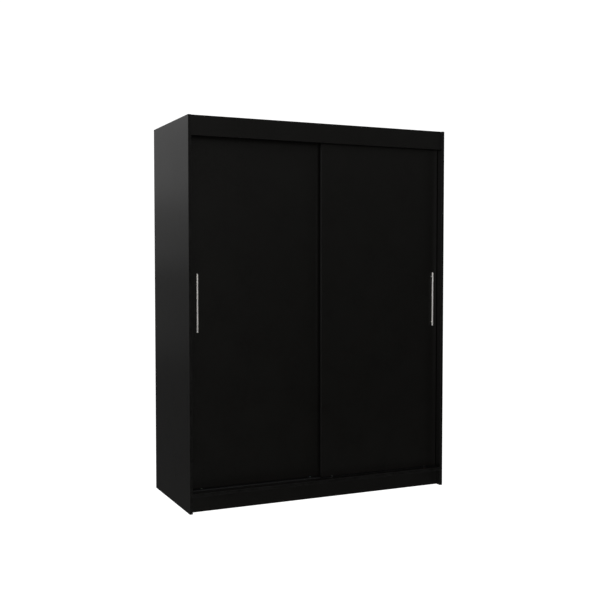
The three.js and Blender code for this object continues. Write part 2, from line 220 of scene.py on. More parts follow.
def hardboard():
    """The raw rear face of the back sheets: brown fibres, pressed on a fine mesh."""
    finish = Finish("raw_hardboard", (0.16, 0.09, 0.045), 0.8)
    cloud = finish.noise(7, detail=5, roughness=0.65)
    fibre = finish.noise(260, detail=4, roughness=0.7, stretch=(1, 1, 0.25))
    mesh = finish.cells(620, output="Distance")
    tone = finish.ramp(cloud, [(0.25, (0.105, 0.058, 0.030)), (0.75, (0.175, 0.104, 0.056))])
    streak = finish.ramp(fibre, [(0.3, (0.72, 0.72, 0.72)), (0.7, (1.15, 1.15, 1.15))])
    finish.color(finish.mix(1.0, tone, streak, "MULTIPLY"))
    finish.roughness(finish.range(fibre, 0.7, 0.88))
    finish.bump(mesh, 0.12 * MM, 0.6)
    finish.bump(fibre, 0.08 * MM, 0.5)
    return finish.material


def lacquered_hardboard():
    """The inner face of the back sheets: thin graphite lacquer over hardboard."""
    finish = Finish("graphite_lacquer", (0.045, 0.045, 0.047), 0.5)
    cloud = finish.noise(4, detail=4)
    fibre = finish.noise(420, detail=3)
    finish.color(finish.ramp(cloud, [(0.3, (0.040, 0.040, 0.042)), (0.7, (0.052, 0.052, 0.054))]))
    finish.roughness(finish.range(fibre, 0.44, 0.56))
    finish.bump(fibre, 0.05 * MM, 0.5)
    return finish.material


def brushed_aluminium():
    """The handles: satin aluminium, brushed along their length."""
    finish = Finish("brushed_aluminium", (0.94, 0.94, 0.94), 0.48, metallic=1.0)
    streak = finish.noise(1.0, detail=4, roughness=0.6, stretch=(5200, 5200, 26))
    tarnish = finish.noise(24, detail=3)
    shade = finish.ramp(streak, [(0.3, (0.94, 0.905, 0.865)), (0.7, (1.0, 0.975, 0.935))])
    hand = finish.ramp(tarnish, [(0.3, (0.94, 0.94, 0.94)), (0.7, (1.0, 1.0, 1.0))])
    finish.color(finish.mix(1.0, shade, hand, "MULTIPLY"))
    finish.roughness(finish.add(finish.range(streak, 0.43, 0.54), finish.range(tarnish, -0.02, 0.04)))
    finish.bump(streak, 0.012 * MM, 0.6)
    return finish.set(Anisotropic=0.9).material


def black_anodised():
    """The tracks: black anodised aluminium with die lines along X, dusty and a little rubbed."""
    finish = Finish("black_anodised", (0.012, 0.012, 0.0125), 0.42)
    lines = finish.noise(1.0, detail=3, roughness=0.6, stretch=(9, 3400, 3400))
    dust = finish.noise(14, detail=5, roughness=0.7)
    shade = finish.ramp(lines, [(0.3, (0.009, 0.009, 0.0095)), (0.7, (0.015, 0.015, 0.0155))])
    film = finish.ramp(dust, [(0.3, (0.85, 0.85, 0.85)), (0.75, (1.15, 1.15, 1.15))])
    finish.color(finish.mix(1.0, shade, film, "MULTIPLY"))
    finish.roughness(finish.add(finish.range(lines, 0.36, 0.48), finish.range(dust, 0.0, 0.08)))
    finish.bump(lines, 0.01 * MM, 0.6)
    return finish.set(Specular_IOR_Level=0.25).material


def chrome():
    """Polished chrome with faint finger marks."""
    finish = Finish("chrome", (0.78, 0.79, 0.80), 0.08, metallic=1.0)
    marks = finish.noise(46, detail=5, roughness=0.7)
    finish.color(finish.ramp(marks, [(0.3, (0.74, 0.75, 0.76)), (0.7, (0.80, 0.81, 0.82))]))
    finish.roughness(finish.range(marks, 0.05, 0.17, 0.4, 0.8))
    finish.bump(finish.noise(30), 0.01 * MM, 0.3)
    return finish.material


def zinc_steel():
    """Bright zinc plating on small steel parts, with a faint spangle."""
    finish = Finish("zinc_steel", (0.55, 0.56, 0.58), 0.34, metallic=1.0)
    spangle = finish.cells(900)
    grime = finish.noise(160, detail=4, roughness=0.65)
    finish.color(finish.ramp(spangle, [(0.0, (0.48, 0.49, 0.51)), (1.0, (0.62, 0.63, 0.64))]))
    finish.roughness(finish.range(grime, 0.26, 0.46))
    finish.bump(grime, 0.01 * MM, 0.5)
    return finish.material


def nylon():
    """Moulded off-white nylon, a little grey where it rubs."""
    finish = Finish("nylon", (0.7, 0.7, 0.66), 0.45)
    wear = finish.noise(210, detail=4, roughness=0.65)
    mould = finish.noise(2600, detail=2)
    finish.color(finish.ramp(wear, [(0.3, (0.60, 0.60, 0.565)), (0.7, (0.74, 0.74, 0.70))]))
    finish.roughness(finish.range(wear, 0.38, 0.52))
    finish.bump(mould, 0.015 * MM, 0.5)
    return finish.set(Subsurface_Weight=0.15, Subsurface_Scale=1.5 * MM).material


def black_plastic():
    """Moulded black plastic: caps and the strip between the back sheets."""
    finish = Finish("black_plastic", (0.013, 0.013, 0.013), 0.5)
    spark = finish.noise(1800, detail=2)
    scuff = finish.noise(90, detail=4, roughness=0.65)
    finish.color(finish.ramp(scuff, [(0.3, (0.010, 0.010, 0.010)), (0.75, (0.018, 0.018, 0.018))]))
    finish.roughness(finish.range(scuff, 0.42, 0.58))
    finish.bump(spark, 0.03 * MM, 0.6)
    return finish.material


def rubber():
    """Soft black rubber."""
    finish = Finish("rubber", (0.009, 0.009, 0.009), 0.85)
    bloom = finish.noise(420, detail=3)
    finish.color(finish.ramp(bloom, [(0.3, (0.007, 0.007, 0.007)), (0.7, (0.014, 0.014, 0.014))]))
    finish.roughness(finish.range(bloom, 0.78, 0.9))
    finish.bump(bloom, 0.04 * MM, 0.5)
    return finish.material


MELAMINE = melamine()
BAND = edge_band()
CHIPBOARD = chipboard()
HARDBOARD = hardboard()
LACQUER = lacquered_hardboard()
HANDLE_METAL = brushed_aluminium()
TRACK_METAL = black_anodised()
CHROME = chrome()
STEEL = zinc_steel()
NYLON = nylon()
PLASTIC = black_plastic()
RUBBER = rubber()


# ---- Mesh helpers ----


def cuboid(low, high):
    shape = bmesh.new()
    bmesh.ops.create_cube(shape, size=1)
    size = Vector(high) - Vector(low)
    for vertex in shape.verts:
        vertex.co = Vector(a + s * (c + 0.5) for a, s, c in zip(low, size, vertex.co))
    return shape


def rounded(shape, radius, segments=EDGE_SEGMENTS, least_angle=math.radians(30)):
    """Rounds every edge that is sharper than least_angle."""
    edges = [e for e in shape.edges if len(e.link_faces) == 2 and e.calc_face_angle() > least_angle]
    bmesh.ops.bevel(
        shape, geom=edges, offset=radius, segments=segments, profile=0.5, affect="EDGES", clamp_overlap=True
    )
    return shape


def turned(profile, centre, axis, segments=48):
    """A closed solid of revolution. Profile is (radius, distance along axis) pairs, and closes on itself."""
    shape = bmesh.new()
    turn = Vector((0, 0, 1)).rotation_difference(Vector(axis)).to_matrix()
    rings = []
    for radius, along in profile:
        ring = []
        for i in range(segments):
            angle = 2 * math.pi * i / segments
            local = Vector((radius * math.cos(angle), radius * math.sin(angle), along))
            ring.append(shape.verts.new(Vector(centre) + turn @ local))
        rings.append(ring)
    for near, far in zip(rings, rings[1:] + rings[:1]):
        for i in range(segments):
            j = (i + 1) % segments
            shape.faces.new((near[i], near[j], far[j], far[i]))
    bmesh.ops.remove_doubles(shape, verts=shape.verts, dist=1e-7)
    bmesh.ops.recalc_face_normals(shape, faces=shape.faces)
    return shape


def extruded(outline, low, high, axis="X"):
    """An outline, as pairs of the two other coordinates in order, extruded along an axis from low to high."""
    place = {
        "X": lambda a, b, along: (along, a, b),
        "Y": lambda a, b, along: (a, along, b),
        "Z": lambda a, b, along: (a, b, along),
    }[axis]
    shape = bmesh.new()
    near = [shape.verts.new(place(a, b, low)) for a, b in outline]
    far = [shape.verts.new(place(a, b, high)) for a, b in outline]
    shape.faces.new(near)
    shape.faces.new(reversed(far))
    for i in range(len(outline)):
        j = (i + 1) % len(outline)
        shape.faces.new((near[i], far[i], far[j], near[j]))
    bmesh.ops.recalc_face_normals(shape, faces=shape.faces)
    return shape


def arc(centre, radius, start, end, steps):
    """Points on a circle from start to end, in degrees."""
    angles = [math.radians(start + (end - start) * i / steps) for i in range(steps + 1)]
    return [(centre[0] + radius * math.cos(a), centre[1] + radius * math.sin(a)) for a in angles]


def merged(shapes):
    """One bmesh with all of these closed shapes in it."""
    whole = bmesh.new()
    for shape in shapes:
        mesh = bpy.data.meshes.new("part")
        shape.to_mesh(mesh)
        shape.free()
        whole.from_mesh(mesh)
        bpy.data.meshes.remove(mesh)
    return whole


def stamped(template, places):
    """Copies of a template mesh, one for each matrix."""
    whole = bmesh.new()
    for place in places:
        start = len(whole.verts)
        whole.from_mesh(template)
        whole.verts.ensure_lookup_table()
        bmesh.ops.transform(whole, matrix=place, verts=whole.verts[start:])
    return whole


def to_mesh(shape, name):
    mesh = bpy.data.meshes.new(name)
    shape.to_mesh(mesh)
    shape.free()
    return mesh


def boolean(shape, tool, operation="DIFFERENCE"):
    """shape cut or joined with tool, as a new bmesh."""
    objects = [bpy.data.objects.new(n, to_mesh(s, n)) for n, s in (("base", shape), ("tool", tool))]
    for item in objects:
        bpy.context.scene.collection.objects.link(item)
    base, other = objects
    modifier = base.modifiers.new("boolean", "BOOLEAN")
    modifier.operation = operation
    modifier.solver = "EXACT"
    modifier.object = other
    depsgraph = bpy.context.evaluated_depsgraph_get()
    mesh = bpy.data.meshes.new_from_object(base.evaluated_get(depsgraph), depsgraph=depsgraph)
    result = bmesh.new()
    result.from_mesh(mesh)
    for item in objects:
        bpy.data.objects.remove(item, do_unlink=True)
    bpy.data.meshes.remove(mesh)
    return result


def piece(name, shape, body, materials, replaces=(), choose=None):
    """Makes a piece of the wardrobe from a bmesh. choose picks a material's index for each face."""
    if choose is not None:
        for face in shape.faces:
            face.material_index = choose(face)
    mesh = to_mesh(shape, name)
    for material in materials:
        mesh.materials.append(material)
    mesh.polygons.foreach_set("use_smooth", [True] * len(mesh.polygons))
    mesh.set_sharp_from_angle(angle=SMOOTH_ANGLE)
    made = bpy.data.objects.new(name, mesh)
    bpy.context.scene.collection.objects.link(made)
    weighted = made.modifiers.new("flat_faces", "WEIGHTED_NORMAL")
    weighted.keep_sharp = True
    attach(made, body)
    if replaces:
        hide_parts(*replaces)
    return made


def middle(node):
    low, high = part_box(node)
    return (low + high) / 2


# ---- Boards ----


def band_chooser(low, high, raw=()):
    """Melamine on the two large faces, banding on the thin ones, raw chipboard on the sides named in raw."""
    thin = min(range(3), key=lambda i: high[i] - low[i])
    centre = (low + high) / 2

    def choose(face):
        main = max(range(3), key=lambda i: abs(face.normal[i]))
        outward = face.calc_center_median()[main] > centre[main]
        if ("+" if outward else "-") + "XYZ"[main] in raw and abs(face.normal[main]) > 0.9:
            return 2
        return 0 if main == thin and abs(face.normal[thin]) > 0.95 else 1

    return choose


def board(node, body, holes=(), raw=()):
    """A melamine board on a CAD node's box, with rounded banded edges. Holes are closed shapes."""
    low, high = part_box(node)
    shape = rounded(cuboid(low, high), EDGE_RADIUS)
    if holes:
        shape = boolean(shape, merged(holes))
    return piece(
        node.removesuffix("_panel").removesuffix("_board") + "_faced_board",
        shape,
        body,
        [MELAMINE, BAND, CHIPBOARD],
        replaces=[node],
        choose=band_chooser(low, high, raw),
    )


SHELVES = {
    "left": ["top_shelf_left"],
    "right": ["top_shelf_right"] + [f"lower_shelf_{i}" for i in range(1, 5)],
}
SHELF_WALLS = {
    "left": (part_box("left_side_panel")[1].x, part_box("centre_divider")[0].x),
    "right": (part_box("centre_divider")[1].x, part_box("right_side_panel")[0].x),
}


def pin_rows(shelf):
    """The Y of the front and rear pin of a shelf."""
    low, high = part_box(shelf)
    return low.y + PIN_ROW_INSET, high.y - PIN_ROW_INSET


def pin_height(shelf):
    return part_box(shelf)[0].z - PIN_RADIUS


def pin_holes(side, wall_x, inward):
    """Three holes for each pin of a compartment, in one wall. inward is the way into the wall along X."""
    holes = []
    for shelf in SHELVES[side]:
        for y in pin_rows(shelf):
            for step in (-1, 0, 1):
                centre = (wall_x, y, pin_height(shelf) + step * PIN_PITCH)
                radius = PIN_RADIUS + 0.1 * MM
                profile = [(0, -MM), (radius, -MM), (radius, HOLE_DEPTH), (0, HOLE_DEPTH)]
                holes.append(turned(profile, centre, (inward, 0, 0), segments=16))
    return holes


def make_carcass_boards():
    left_wall, divider_left = SHELF_WALLS["left"]
    divider_right, right_wall = SHELF_WALLS["right"]
    board("left_side_panel", "carcass", holes=pin_holes("left", left_wall, -1), raw=("+Y", "-Z"))
    board("right_side_panel", "carcass", holes=pin_holes("right", right_wall, 1), raw=("+Y", "-Z"))
    divider_holes = pin_holes("left", divider_left, 1) + pin_holes("right", divider_right, -1)
    board("centre_divider", "carcass", holes=divider_holes, raw=("+Y",))
    for node in ("top_panel", "bottom_panel", "fascia_board", "plinth_front", "plinth_rear", "plinth_centre"):
        board(node, "carcass", raw=("+Y",) if node.endswith("panel") else ())
    for side in SHELVES.values():
        for shelf in side:
            board(shelf, "carcass", raw=("+Y",))


def make_back():
    """Two thin sheets, lacquered inside and raw outside, with the strip that covers their seam."""
    for side in ("left", "right"):
        node = f"back_panel_{side}"
        low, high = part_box(node)
        shape = rounded(cuboid(low, high), 0.25 * MM, segments=1)
        inner = low.y + 0.1 * MM
        piece(
            f"back_sheet_{side}",
            shape,
            "carcass",
            [HARDBOARD, LACQUER],
            replaces=[node],
            choose=lambda face: int(face.calc_center_median().y < inner),
        )
    low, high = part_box("back_panel_joiner")
    lip = high.y - 1 * MM
    web = MM
    chamfer, drop = 0.7 * MM, 0.3 * MM
    outline = [
        (-web, low.y),
        (web, low.y),
        (web, lip),
        (high.x, lip),
        (high.x, high.y - drop),
        (high.x - chamfer, high.y),
        (low.x + chamfer, high.y),
        (low.x, high.y - drop),
        (low.x, lip),
        (-web, lip),
    ]
    shape = extruded(outline, low.z, high.z, axis="Z")
    piece("back_seam_strip", shape, "carcass", [PLASTIC], replaces=["back_panel_joiner"])


# ---- Fasteners ----


def screw_head(radius, height):
    """A countersunk-washer pan head with a cross recess, its seat at the origin and its top along +Z."""
    dome = [
        (0, -0.4 * MM),
        (radius, -0.4 * MM),
        (radius, 0.25 * height),
        (0.92 * radius, 0.55 * height),
        (0.72 * radius, 0.82 * height),
        (0.4 * radius, 0.97 * height),
        (0, height),
    ]
    head = turned(dome, (0, 0, 0), (0, 0, 1), segments=24)
    arm, half, floor = 0.62 * radius, 0.11 * radius, 0.35 * height
    cross = boolean(
        cuboid((-arm, -half, floor), (arm, half, 2 * height)),
        cuboid((-half, -arm, floor), (half, arm, 2 * height)),
        "UNION",
    )
    return to_mesh(boolean(head, cross), "screw_head")


def facing(position, direction):
    """A matrix that puts a template's +Z along direction, at position."""
    turn = Vector((0, 0, 1)).rotation_difference(Vector(direction)).to_matrix().to_4x4()
    return Matrix.Translation(position) @ turn


SMALL_SCREW = screw_head(3.2 * MM, 1.6 * MM)
TRACK_SCREW = screw_head(3.4 * MM, 1.3 * MM)


def make_shelf_pins():
    """Steel pins: a collar on the wall and a round peg under the shelf."""
    profile = [
        (0, -6 * MM),
        (PIN_RADIUS - 0.2 * MM, -6 * MM),
        (PIN_RADIUS, -5.5 * MM),
        (PIN_RADIUS, 0),
        (PIN_RADIUS + 1.2 * MM, 0),
        (PIN_RADIUS + 1.2 * MM, 0.5 * MM),
        (PIN_RADIUS + 0.9 * MM, 0.8 * MM),
        (PIN_RADIUS - 0.05 * MM, 0.8 * MM),
        (PIN_RADIUS - 0.05 * MM, PIN_REACH - 0.6 * MM),
        (PIN_RADIUS - 0.6 * MM, PIN_REACH),
        (0, PIN_REACH),
    ]
    template = to_mesh(turned(profile, (0, 0, 0), (0, 0, 1), segments=24), "shelf_pin")
    for side, shelves in SHELVES.items():
        near, far = SHELF_WALLS[side]
        for shelf in shelves:
            places = []
            for y in pin_rows(shelf):
                places.append(facing((near, y, pin_height(shelf)), (1, 0, 0)))
                places.append(facing((far, y, pin_height(shelf)), (-1, 0, 0)))
            piece(f"{shelf}_pins", stamped(template, places), "carcass", [STEEL])


def make_cam_caps():
    """Plastic caps over the cam fittings that hold the boards together."""
    radius, height = 8.5 * MM, 1.2 * MM
    profile = [
        (0, 0),
        (radius, 0),
        (radius, 0.4 * height),
        (radius - 0.5 * MM, 0.85 * height),
        (radius - 1.2 * MM, height),
        (2.4 * MM, height),
        (1.6 * MM, 0.55 * height),
        (0, 0.5 * height),
    ]
    template = to_mesh(turned(profile, (0, 0, 0), (0, 0, 1), segments=32), "cam_cap")
    inset = 34 * MM
    row_inset, bottom_row_inset = 60 * MM, 110 * MM
    fascia_drop = 20 * MM
    groups = {}

    divider_low, divider_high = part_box("centre_divider")
    rows = (divider_low.y + row_inset, divider_high.y - row_inset)
    ends = (divider_low.z + inset, divider_high.z - inset)
    groups["divider"] = [facing((divider_low.x, y, z), (-1, 0, 0)) for y in rows for z in ends]

    top_low, top_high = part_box("top_panel")
    top_rows = (divider_low.y + row_inset, top_high.y - row_inset)
    sides = (top_low.x + inset, top_high.x - inset)
    groups["top"] = [facing((x, y, top_low.z), (0, 0, -1)) for x in sides for y in top_rows]

    bottom_low, bottom_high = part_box("bottom_panel")
    bottom_rows = (bottom_low.y + bottom_row_inset, bottom_high.y - bottom_row_inset)
    groups["bottom"] = [facing((x, y, bottom_low.z), (0, 0, -1)) for x in sides for y in bottom_rows]

    for node in ("plinth_front", "fascia_board"):
        low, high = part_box(node)
        z = (low.z + high.z) / 2 - (fascia_drop if node == "fascia_board" else 0)
        groups[node] = [facing((x, high.y, z), (0, 1, 0)) for x in sides]

    for name, places in groups.items():
        piece(f"{name}_cam_caps", stamped(template, places), "carcass", [PLASTIC])


def spaced(low, high, inset, pitch):
    """Evenly spaced numbers from low + inset to high - inset, about pitch apart."""
    start, end = low + inset, high - inset
    count = max(1, round((end - start) / pitch))
    return [start + (end - start) * i / count for i in range(count + 1)]


def make_back_nails():
    """Flat nail heads along the edges of the back sheets."""
    radius, height = 1.8 * MM, 0.5 * MM
    sunk = -0.3 * MM
    profile = [(0, sunk), (radius, sunk), (radius, 0.5 * height), (0.8 * radius, height), (0, height)]
    template = to_mesh(turned(profile, (0, 0, 0), (0, 0, 1), segments=12), "nail_head")
    edge, pitch, row_inset = 8 * MM, 120 * MM, 60 * MM
    low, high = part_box("back_panel_left")[0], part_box("back_panel_right")[1]
    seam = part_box("back_panel_joiner")
    places = []
    for z in spaced(low.z, high.z, edge, pitch):
        places += [facing((x, high.y, z), (0, 1, 0)) for x in (low.x + edge, high.x - edge)]
    for half_low, half_high in ((low.x, seam[0].x), (seam[1].x, high.x)):
        for x in spaced(half_low, half_high, row_inset, pitch):
            places += [facing((x, high.y, z), (0, 1, 0)) for z in (low.z + edge, high.z - edge)]
    piece("back_sheet_nails", stamped(template, places), "carcass", [STEEL])


# ---- Rail ----


def make_rail():
    low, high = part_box("hanging_rail")
    centre = (low + high) / 2
    outer = (high.z - low.z) / 2
    half = (high.x - low.x) / 2
    tube_wall, lip = 1.2 * MM, 0.3 * MM
    inner = outer - tube_wall
    profile = [
        (inner, -half + lip),
        (inner + lip, -half),
        (outer - lip, -half),
        (outer, -half + lip),
        (outer, half - lip),
        (outer - lip, half),
        (inner + lip, half),
        (inner, half - lip),
    ]
    shape = turned(profile, centre, (1, 0, 0), segments=96)
    piece("hanging_rail_tube", shape, "carcass", [CHROME], replaces=["hanging_rail"])
    make_rail_holder("rail_holder_left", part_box("rail_holder_left")[0].x, 1, centre)
    make_rail_holder("rail_holder_right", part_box("rail_holder_right")[1].x, -1, centre)


def make_rail_holder(node, wall_x, way, centre):
    """A round flange on the wall with a cup that the rail drops into from above."""
    low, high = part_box(node)
    flange_radius = (high.z - low.z) / 2
    length = high.x - low.x
    flange = 3 * MM
    cup_outer, cup_inner = 16 * MM, 13 * MM
    disc = [
        (0, 0),
        (flange_radius, 0),
        (flange_radius, 0.5 * flange),
        (flange_radius - 0.4 * MM, 0.8 * flange),
        (flange_radius - 1.2 * MM, flange),
        (0, flange),
    ]
    plate = turned(disc, (wall_x, centre.y, centre.z), (way, 0, 0), segments=64)
    leg, overlap, cup_edge = 6 * MM, 0.2 * MM, 0.5 * MM
    outline = [(centre.y + cup_inner, centre.z + leg), (centre.y + cup_outer, centre.z + leg)]
    outline += arc((centre.y, centre.z), cup_outer, 0, -180, 40)
    outline += [(centre.y - cup_outer, centre.z + leg), (centre.y - cup_inner, centre.z + leg)]
    outline += arc((centre.y, centre.z), cup_inner, -180, 0, 40)
    ends = sorted((wall_x + way * (flange - overlap), wall_x + way * length))
    cup = rounded(extruded(outline, *ends), cup_edge, segments=2, least_angle=math.radians(60))
    shape = boolean(plate, cup, "UNION")
    piece(f"{node}_cup", shape, "carcass", [CHROME], replaces=[node])

    screw_inset = 3.2 * MM
    screw_circle = flange_radius - screw_inset
    seats = []
    for degrees in (90, 210, 330):
        angle = math.radians(degrees)
        y = centre.y + screw_circle * math.cos(angle)
        z = centre.z + screw_circle * math.sin(angle)
        seats.append(facing((wall_x + way * flange, y, z), (way, 0, 0)))
    template = screw_head(2.4 * MM, 1.2 * MM)
    piece(f"{node}_screws", stamped(template, seats), "carcass", [STEEL])


# ---- Tracks and buffers ----


def make_top_track():
    """The E-shaped track: a flat base and three ribs with rounded lips."""
    low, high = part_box("top_track")
    wall = TRACK_WALL
    roof = high.z - wall
    ribs = [low.y, (low.y + high.y - wall) / 2, high.y - wall]
    screw_inset, screw_pitch = 60 * MM, 330 * MM
    outline = [(low.y, high.z), (high.y, high.z)]
    for y in reversed(ribs):
        if y != ribs[2]:
            outline.append((y + wall, roof))
        outline += arc((y + wall / 2, low.z + wall / 2), wall / 2, 0, -180, 6)
        if y != ribs[0]:
            outline.append((y, roof))
    shape = extruded(outline, low.x, high.x)
    piece("top_track_rail", shape, "carcass", [TRACK_METAL], replaces=["top_track"])
    seats = []
    for rib in ribs[:2]:
        channel = rib + (ribs[1] - ribs[0] + wall) / 2
        for x in spaced(low.x, high.x, screw_inset, screw_pitch):
            seats.append(facing((x, channel, roof), (0, 0, -1)))
    piece("top_track_screws", stamped(TRACK_SCREW, seats), "carcass", [TRACK_METAL])


def make_bottom_track():
    """A thin strip with a round-topped ridge under each door."""
    low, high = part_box("bottom_track")
    base = low.z + 2 * MM
    ridge_half, fillet, chamfer = 1.5 * MM, 0.4 * MM, 0.5 * MM
    screw_inset, screw_pitch = 40 * MM, 230 * MM
    ridges = [middle("front_wheel_left").y, middle("rear_wheel_left").y]
    outline = [(low.y, low.z), (low.y, base - chamfer), (low.y + chamfer, base)]
    for y in ridges:
        outline.append((y - ridge_half - fillet, base))
        outline += arc((y, high.z - ridge_half), ridge_half, 180, 0, 10)
        outline.append((y + ridge_half + fillet, base))
    outline += [(high.y - chamfer, base), (high.y, base - chamfer), (high.y, low.z)]
    shape = extruded(outline, low.x, high.x)
    piece("bottom_track_rail", shape, "carcass", [TRACK_METAL], replaces=["bottom_track"])
    y = sum(ridges) / 2
    seats = [facing((x, y, base), (0, 0, 1)) for x in spaced(low.x, high.x, screw_inset, screw_pitch)]
    piece("bottom_track_screws", stamped(TRACK_SCREW, seats), "carcass", [TRACK_METAL])


def make_buffers():
    """Rubber domes on the side panels, where the doors stop."""
    for row in ("front", "rear"):
        for side, way in (("left", 1), ("right", -1)):
            node = f"{row}_buffer_{side}"
            low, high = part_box(node)
            radius, height = (high.z - low.z) / 2, high.x - low.x - BUFFER_GAP
            profile = [(0, 0), (radius, 0), (radius, 0.4 * height)]
            profile += [
                (radius * math.cos(a), 0.4 * height + 0.6 * height * math.sin(a))
                for a in (math.radians(15 * i) for i in range(1, 6))
            ]
            profile.append((0, height))
            centre = ((low.x if way > 0 else high.x), middle(node).y, middle(node).z)
            shape = turned(profile, centre, (way, 0, 0), segments=32)
            piece(f"{node}_dome", shape, "carcass", [RUBBER], replaces=[node])


# ---- Doors ----


def make_door(row):
    """One door: its board with milled pockets, handle, rollers and guides."""
    body = f"{row}_door"
    panel = f"{row}_door_panel"
    low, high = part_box(panel)
    screws = [f"{row}_handle_screw_lower", f"{row}_handle_screw_upper"]
    plates = [f"{row}_roller_plate_left", f"{row}_roller_plate_right"]
    hole_radius, hole_start, hole_end = 2.3 * MM, -5 * MM, 25 * MM
    holes = []
    for node in screws:
        centre = middle(node)
        profile = [(0, hole_start), (hole_radius, hole_start), (hole_radius, hole_end), (0, hole_end)]
        holes.append(turned(profile, (centre.x, low.y, centre.z), (0, 1, 0), segments=24))
    for node in plates:
        plate_low, plate_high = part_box(node)
        x = (plate_low.x + plate_high.x) / 2
        half = POCKET_WIDTH / 2
        pocket_low = (x - half, high.y - POCKET_DEPTH, low.z - MM)
        holes.append(cuboid(pocket_low, (x + half, high.y + MM, low.z + POCKET_HEIGHT)))
        rebate_low = (plate_low.x - PLATE_MARGIN, plate_low.y, low.z - MM)
        rebate_high = (plate_high.x + PLATE_MARGIN, high.y + MM, plate_high.z + PLATE_MARGIN)
        holes.append(cuboid(rebate_low, rebate_high))
    shape = rounded(cuboid(low, high), EDGE_RADIUS)
    for hole in holes:
        shape = boolean(shape, hole)
    base_chooser = band_chooser(low, high)
    pocket_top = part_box(plates[0])[1].z + 2 * PLATE_MARGIN
    skin, side_margin = 0.8 * MM, 5 * MM

    def choose(face):
        centre = face.calc_center_median()
        inside_y = low.y + MM < centre.y < high.y - skin
        inside_z = low.z + skin < centre.z < pocket_top
        inside_x = low.x + side_margin < centre.x < high.x - side_margin
        return 2 if inside_x and inside_y and inside_z else base_chooser(face)

    materials = [MELAMINE, BAND, CHIPBOARD]
    piece(f"{row}_door_board", shape, body, materials, replaces=[panel], choose=choose)
    make_handle(row, body)
    for node in screws:
        make_handle_screw(node, body)
    for side in ("left", "right"):
        make_roller(row, side, body)
        make_guide(f"{row}_top_guide_{side}", body)


def make_handle(row, body):
    """A slim bar with rounded edges on two waisted posts."""
    node = f"{row}_handle"
    low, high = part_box(node)
    thickness, corner = 5 * MM, 1.5 * MM
    foot, neck, waist = 3.3 * MM, 3.0 * MM, 2.8 * MM
    reach = high.y - low.y - thickness
    x = (low.x + high.x) / 2
    shape = rounded(cuboid(low, (high.x, low.y + thickness, high.z)), corner, segments=5)
    for place in ("lower", "upper"):
        z = middle(f"{row}_handle_screw_{place}").z
        profile = [
            (0, 0),
            (foot, 0),
            (foot, 0.5 * MM),
            (neck, 1.2 * MM),
            (waist, 0.5 * reach),
            (neck, reach - 0.8 * MM),
            (foot, reach),
            (foot, reach + MM),
            (0, reach + MM),
        ]
        post = turned(profile, (x, high.y, z), (0, -1, 0), segments=40)
        shape = boolean(shape, post, "UNION")
    piece(f"{node}_bar", shape, body, [HANDLE_METAL], replaces=[node])


def make_handle_screw(node, body):
    low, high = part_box(node)
    centre = (low + high) / 2
    head = 2.4 * MM
    template = screw_head((high.x - low.x) / 2, head)
    seat = high.y - head
    shank_radius, chamfer = 1.9 * MM, 0.6 * MM
    shape = stamped(template, [facing((centre.x, seat, centre.z), (0, 1, 0))])
    shank = turned(
        [(0, 0), (shank_radius, chamfer), (shank_radius, seat - low.y), (0, seat - low.y)],
        (centre.x, low.y, centre.z),
        (0, 1, 0),
        segments=20,
    )
    piece(f"{node}_set", merged([shape, shank]), body, [STEEL], replaces=[node])


def rounded_rectangle(low, high, radius, steps=6):
    """An outline of (a, b) pairs with round corners."""
    corners = [
        ((high[0] - radius, low[1] + radius), -90),
        ((high[0] - radius, high[1] - radius), 0),
        ((low[0] + radius, high[1] - radius), 90),
        ((low[0] + radius, low[1] + radius), 180),
    ]
    return [p for centre, start in corners for p in arc(centre, radius, start, start + 90, steps)]


def make_roller(row, side, body):
    """A steel plate let into the door, its axle, and the grooved wheel with its bearing."""
    plate_node = f"{row}_roller_plate_{side}"
    low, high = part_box(plate_node)
    outline = rounded_rectangle((low.x, low.z), (high.x, high.z), 3 * MM)
    plate = extruded(outline, low.y, high.y, axis="Y")
    wheel = middle(f"{row}_wheel_{side}")
    slot_z = high.z - 12 * MM
    slot_half_width, slot_half_height = 7 * MM, 2.2 * MM
    slot_low = (wheel.x - slot_half_width, slot_z - slot_half_height)
    slot_high = (wheel.x + slot_half_width, slot_z + slot_half_height)
    slot = extruded(rounded_rectangle(slot_low, slot_high, 2.1 * MM), low.y - MM, high.y + MM, axis="Y")
    plate = rounded(boolean(plate, slot), 0.2 * MM, segments=2, least_angle=math.radians(50))
    piece(f"{plate_node}_sheet", plate, body, [STEEL], replaces=[plate_node])

    corner = 7 * MM
    head_radius, head_height = 3.4 * MM, 0.9 * MM
    seats = []
    for x in (low.x + corner, high.x - corner):
        for z in (low.z + 1.6 * corner, high.z - corner):
            seats.append(facing((x, high.y - head_height, z), (0, 1, 0)))
    flat = screw_head(head_radius, head_height)
    piece(f"{row}_roller_screws_{side}", stamped(flat, seats), body, [STEEL])

    axle_node = f"{row}_roller_axle_{side}"
    axle_low, axle_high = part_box(axle_node)
    length = axle_high.y - axle_low.y
    pin_radius, head_radius, head_height = 2.4 * MM, 4.0 * MM, 0.6 * MM
    profile = [
        (0, 0),
        (3.1 * MM, 0),
        (head_radius, 0.25 * MM),
        (head_radius, head_height),
        (pin_radius, head_height),
        (pin_radius, length),
        (0, length),
    ]
    axle = turned(profile, (wheel.x, axle_low.y, wheel.z), (0, 1, 0), segments=32)
    piece(f"{axle_node}_pin", axle, body, [STEEL], replaces=[axle_node])
    make_wheel(f"{row}_wheel_{side}", f"{row}_roller_{side}")


